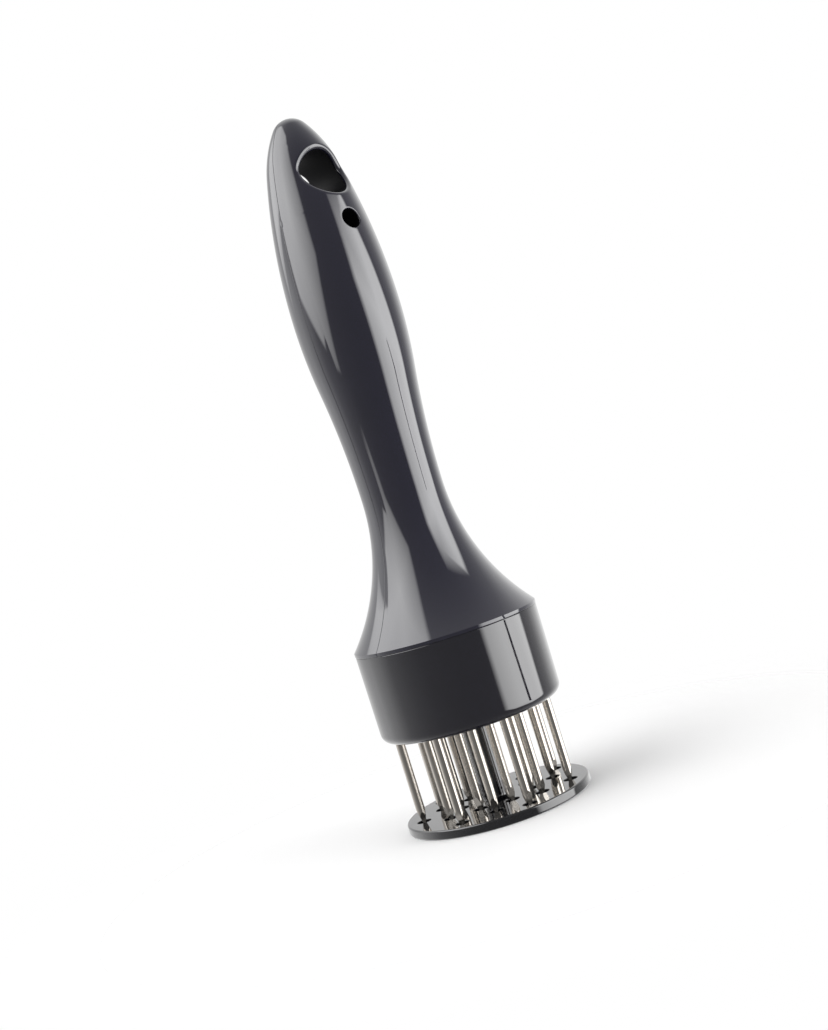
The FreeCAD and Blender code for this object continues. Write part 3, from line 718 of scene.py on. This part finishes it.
cameraData = bpy.data.cameras.new("photo camera")
cameraData.sensor_fit = "VERTICAL"
cameraData.sensor_height = photo["sensor"]
cameraData.lens = photo["sensor"] * photo["focalPixels"] / photo["size"][1]
cameraData.shift_x = photo["centreShift"] / photo["size"][1]
cameraData.clip_start = 0.01
camera = bpy.data.objects.new("photo camera", cameraData)
bpy.context.scene.collection.objects.link(camera)
turn = Matrix((cameraRight, cameraUp, -lookWay)).transposed().to_4x4()
camera.matrix_world = Matrix.Translation(cameraSpot * mm) @ turn
bpy.context.scene.camera = camera


# studio: two softboxes, a surround that is pale behind the tool and dark round the camera, a pale floor
studio = {
    "boxDistance": 0.62,  # metres, from the tool's middle
    "toolMiddle": 100,  # mm above the floor
    "standShare": 0.99,  # the stand's distance as a share of its softbox's
    "standCorners": [(-0.03, -0.09, 0), (-0.015, -0.08, 0), (0.26, -0.45, 0), (0.19, -0.46, 0)],
    "darkAside": 0.4,  # the surround's dark side, to the right of the camera
    "darkBelow": 0.15,
    "surround": [  # brightness, from straight behind the tool at 0 to the dark side at 1
        (0, 0.65),
        (0.06, 0.75),
        (0.15, 0.95),
        (0.28, 0.85),
        (0.42, 0.5),
        (0.6, 0.34),
        (0.78, 0.23),
        (1, 0.17),
    ],
    "floorRadius": 0.19,  # metres
    "floorColumns": 96,
    "floorDrop": 0.02,  # mm under the press plate
    "floorFade": (0.2, 0.8),  # shares of the radius between which the floor fades out
}
levelRight = sideways * math.cos(roll) - axisUp * math.sin(roll)
levelUp = sideways * math.sin(roll) + axisUp * math.cos(roll)


def studioWay(aside, above):
    # a direction in the studio: degrees to the right of the camera, and above it
    a, b = math.radians(aside), math.radians(above)
    outward, right = math.cos(a) * math.cos(b), math.sin(a) * math.cos(b)
    return towards * outward + levelRight * right + levelUp * math.sin(b)


def glowMaterial(name, strength):
    # an even glow, stronger or weaker by the mesh's glow, and clear where its cover ends
    material, tree = newMaterial(name)
    glow = addNode(tree, "ShaderNodeAttribute", {"attribute_name": "glow"}).outputs["Fac"]
    cover = addNode(tree, "ShaderNodeAttribute", {"attribute_name": "cover"}).outputs["Fac"]
    level = addNode(tree, "ShaderNodeMath", {"operation": "MULTIPLY", 1: strength}, {0: glow})
    white = {"Color": (1, 1, 1, 1)}
    light = addNode(tree, "ShaderNodeEmission", white, {"Strength": level.outputs["Value"]})
    clear = addNode(tree, "ShaderNodeBsdfTransparent", {})
    mixed = addNode(
        tree,
        "ShaderNodeMixShader",
        {},
        {0: cover, 1: clear.outputs["BSDF"], 2: light.outputs["Emission"]},
    )
    addNode(tree, "ShaderNodeOutputMaterial", {}, {"Surface": mixed.outputs["Shader"]})
    return material


def placeStage(mesh, name, aside, above, distance):
    # a flat thing that faces the tool from a direction; its x and y are tangents seen from the tool
    thing = bpy.data.objects.new(name, mesh)
    bpy.context.scene.collection.objects.link(thing)
    way = studioWay(aside, above)
    right = levelUp.cross(way).normalized()
    turned = Matrix((right, way.cross(right), way)).transposed().to_4x4()
    middle = Vector((0, 0, studio["toolMiddle"] * mm))
    thing.matrix_world = Matrix.Translation(middle + way * distance) @ turned @ Matrix.Scale(distance, 4)
    thing.visible_camera = False


# corners, clockwise: right and up from the box's middle as tangents of angles,
# share of the strength, and width of the soft border
softboxes = [
    {
        "name": "right softbox",
        "aside": 68,
        "above": 22,
        "strength": 4.6,
        "corners": [
            (-0.44, 0.5, 0.55, 0.3),
            (0.14, 0.54, 0.82, 0.1),
            (0.67, -0.14, 0.85, 0.1),
            (0.7, -0.55, 0.6, 0.1),
            (0.45, -0.85, 0.6, 0.1),
            (-0.15, -0.88, 0.6, 0.1),
            (-0.48, -0.55, 0.62, 0.16),
            (-0.62, 0.15, 0.8, 0.2),
        ],
    },
    {
        "name": "left softbox",
        "aside": -72,
        "above": 18,
        "strength": 3.7,
        "corners": [
            (0.08, 0.78, 0.66, 0.1),
            (0.8, 0.02, 0.4, 0.12),
            (0.62, -0.38, 0.42, 0.1),
            (0.46, -0.76, 0.33, 0.08),
            (0.3, -0.74, 0.33, 0.06),
            (0.25, -0.52, 0.5, 0.06),
            (0.1, -0.6, 0.55, 0.06),
            (-0.38, -0.38, 0.72, 0.07),
            (-0.5, -0.04, 0.8, 0.08),
            (-1.5, -0.32, 0.45, 0.35),
            (-1.5, 0.5, 0.4, 0.35),
            (-0.7, 0.66, 0.55, 0.2),
            (-0.4, 0.8, 0.66, 0.1),
        ],
    },
]
for box in softboxes:
    corners = box["corners"]
    count = len(corners)
    spots = [Vector((0, 0, 0))] * (2 * count + 1)
    for i, (x, y, _, soft) in enumerate(corners):
        before, after = corners[i - 1], corners[(i + 1) % count]
        outward = Vector((before[1] - after[1], after[0] - before[0], 0)).normalized()
        spots[i] = Vector((x, y, 0)) - outward * soft / 2
        spots[i + count] = Vector((x, y, 0)) + outward * soft / 2
    faces = [(i, (i + 1) % count, 2 * count) for i in range(count)]
    faces += [(i, i + count, (i + 1) % count + count, (i + 1) % count) for i in range(count)]
    mesh = bpy.data.meshes.new(box["name"])
    mesh.from_pydata(spots, [], faces)
    glows = [corner[2] for corner in corners] * 2 + [1]
    for key, values in (("glow", glows), ("cover", [1] * count + [0] * count + [1])):
        mesh.attributes.new(key, "FLOAT", "POINT").data.foreach_set("value", values)
    mesh.materials.append(glowMaterial(box["name"], box["strength"]))
    placeStage(mesh, box["name"], box["aside"], box["above"], studio["boxDistance"])

# the right softbox's stand, which crosses its lower half
stand = bpy.data.meshes.new("lamp stand")
stand.from_pydata(studio["standCorners"], [], [(0, 1, 2, 3)])
material, tree = newMaterial("black painted tube")
paint = addNode(tree, "ShaderNodeBsdfPrincipled", {"Base Color": linear("#303033"), "Roughness": 0.5})
addNode(tree, "ShaderNodeOutputMaterial", {}, {"Surface": paint.outputs["BSDF"]})
stand.materials.append(material)
box = softboxes[0]
placeStage(stand, "lamp stand", box["aside"], box["above"], studio["boxDistance"] * studio["standShare"])

world = bpy.data.worlds.new("studio surround")
bpy.context.scene.world = world
world.use_nodes = True
tree = world.node_tree
tree.nodes.clear()
rayWay = addNode(tree, "ShaderNodeTexCoord", {}).outputs["Generated"]
darkest = (towards + levelRight * studio["darkAside"] - levelUp * studio["darkBelow"]).normalized()
facing = addNode(tree, "ShaderNodeVectorMath", {"operation": "DOT_PRODUCT", 1: darkest}, {0: rayWay})
share = addNode(
    tree,
    "ShaderNodeMapRange",
    {"From Min": -1.0, "From Max": 1.0},
    {"Value": facing.outputs["Value"]},
)
surround = addNode(tree, "ShaderNodeValToRGB", {}, {"Fac": share.outputs["Result"]})
ramp = surround.color_ramp
for position, level in studio["surround"][1:-1]:
    ramp.elements.new(position)
for element, (position, level) in zip(ramp.elements, studio["surround"]):
    element.color = (level, level, level, 1)
seen = addNode(tree, "ShaderNodeLightPath", {}).outputs["Is Camera Ray"]
white = addNode(
    tree,
    "ShaderNodeMix",
    {"data_type": "RGBA", 7: (1, 1, 1, 1)},
    {0: seen, 6: surround.outputs["Color"]},
)
sky = addNode(tree, "ShaderNodeBackground", {"Strength": 1.0}, {"Color": white.outputs[2]})
addNode(tree, "ShaderNodeOutputWorld", {}, {"Surface": sky.outputs["Background"]})

floorRadius = studio["floorRadius"]
bm = bmesh.new()
outline = ring(floorRadius / mm, -studio["floorDrop"], studio["floorColumns"])
bm.faces.new([bm.verts.new(point * mm) for point in outline])
mesh = bpy.data.meshes.new("floor")
bm.to_mesh(mesh)
bm.free()
material, tree = newMaterial("matt white board")
place = addNode(tree, "ShaderNodeTexCoord", {}).outputs["Object"]
reach = addNode(tree, "ShaderNodeVectorMath", {"operation": "LENGTH"}, {0: place})
fadeStart, fadeEnd = (floorRadius * part for part in studio["floorFade"])
fade = addNode(
    tree,
    "ShaderNodeMapRange",
    {"From Min": fadeStart, "From Max": fadeEnd, "interpolation_type": "SMOOTHSTEP"},
    {"Value": reach.outputs["Value"]},
)
board = addNode(tree, "ShaderNodeBsdfPrincipled", {"Base Color": (0.93, 0.93, 0.93, 1), "Roughness": 0.8})
clear = addNode(tree, "ShaderNodeBsdfTransparent", {})
# the board fades out, hides nothing from below, and mirror-like surfaces see the surround past it
mirrored = addNode(tree, "ShaderNodeLightPath", {}).outputs["Is Glossy Ray"]
below = addNode(tree, "ShaderNodeNewGeometry", {}).outputs["Backfacing"]
away = addNode(tree, "ShaderNodeMath", {"operation": "MAXIMUM"}, {0: fade.outputs["Result"], 1: mirrored})
away = addNode(tree, "ShaderNodeMath", {"operation": "MAXIMUM"}, {0: away.outputs["Value"], 1: below})
mixed = addNode(
    tree,
    "ShaderNodeMixShader",
    {},
    {0: away.outputs["Value"], 1: board.outputs["BSDF"], 2: clear.outputs["BSDF"]},
)
addNode(tree, "ShaderNodeOutputMaterial", {}, {"Surface": mixed.outputs["Shader"]})
mesh.materials.append(material)
floor = bpy.data.objects.new("floor", mesh)
bpy.context.scene.collection.objects.link(floor)
bpy.context.scene.view_settings.view_transform = "Standard"
print("studio made")
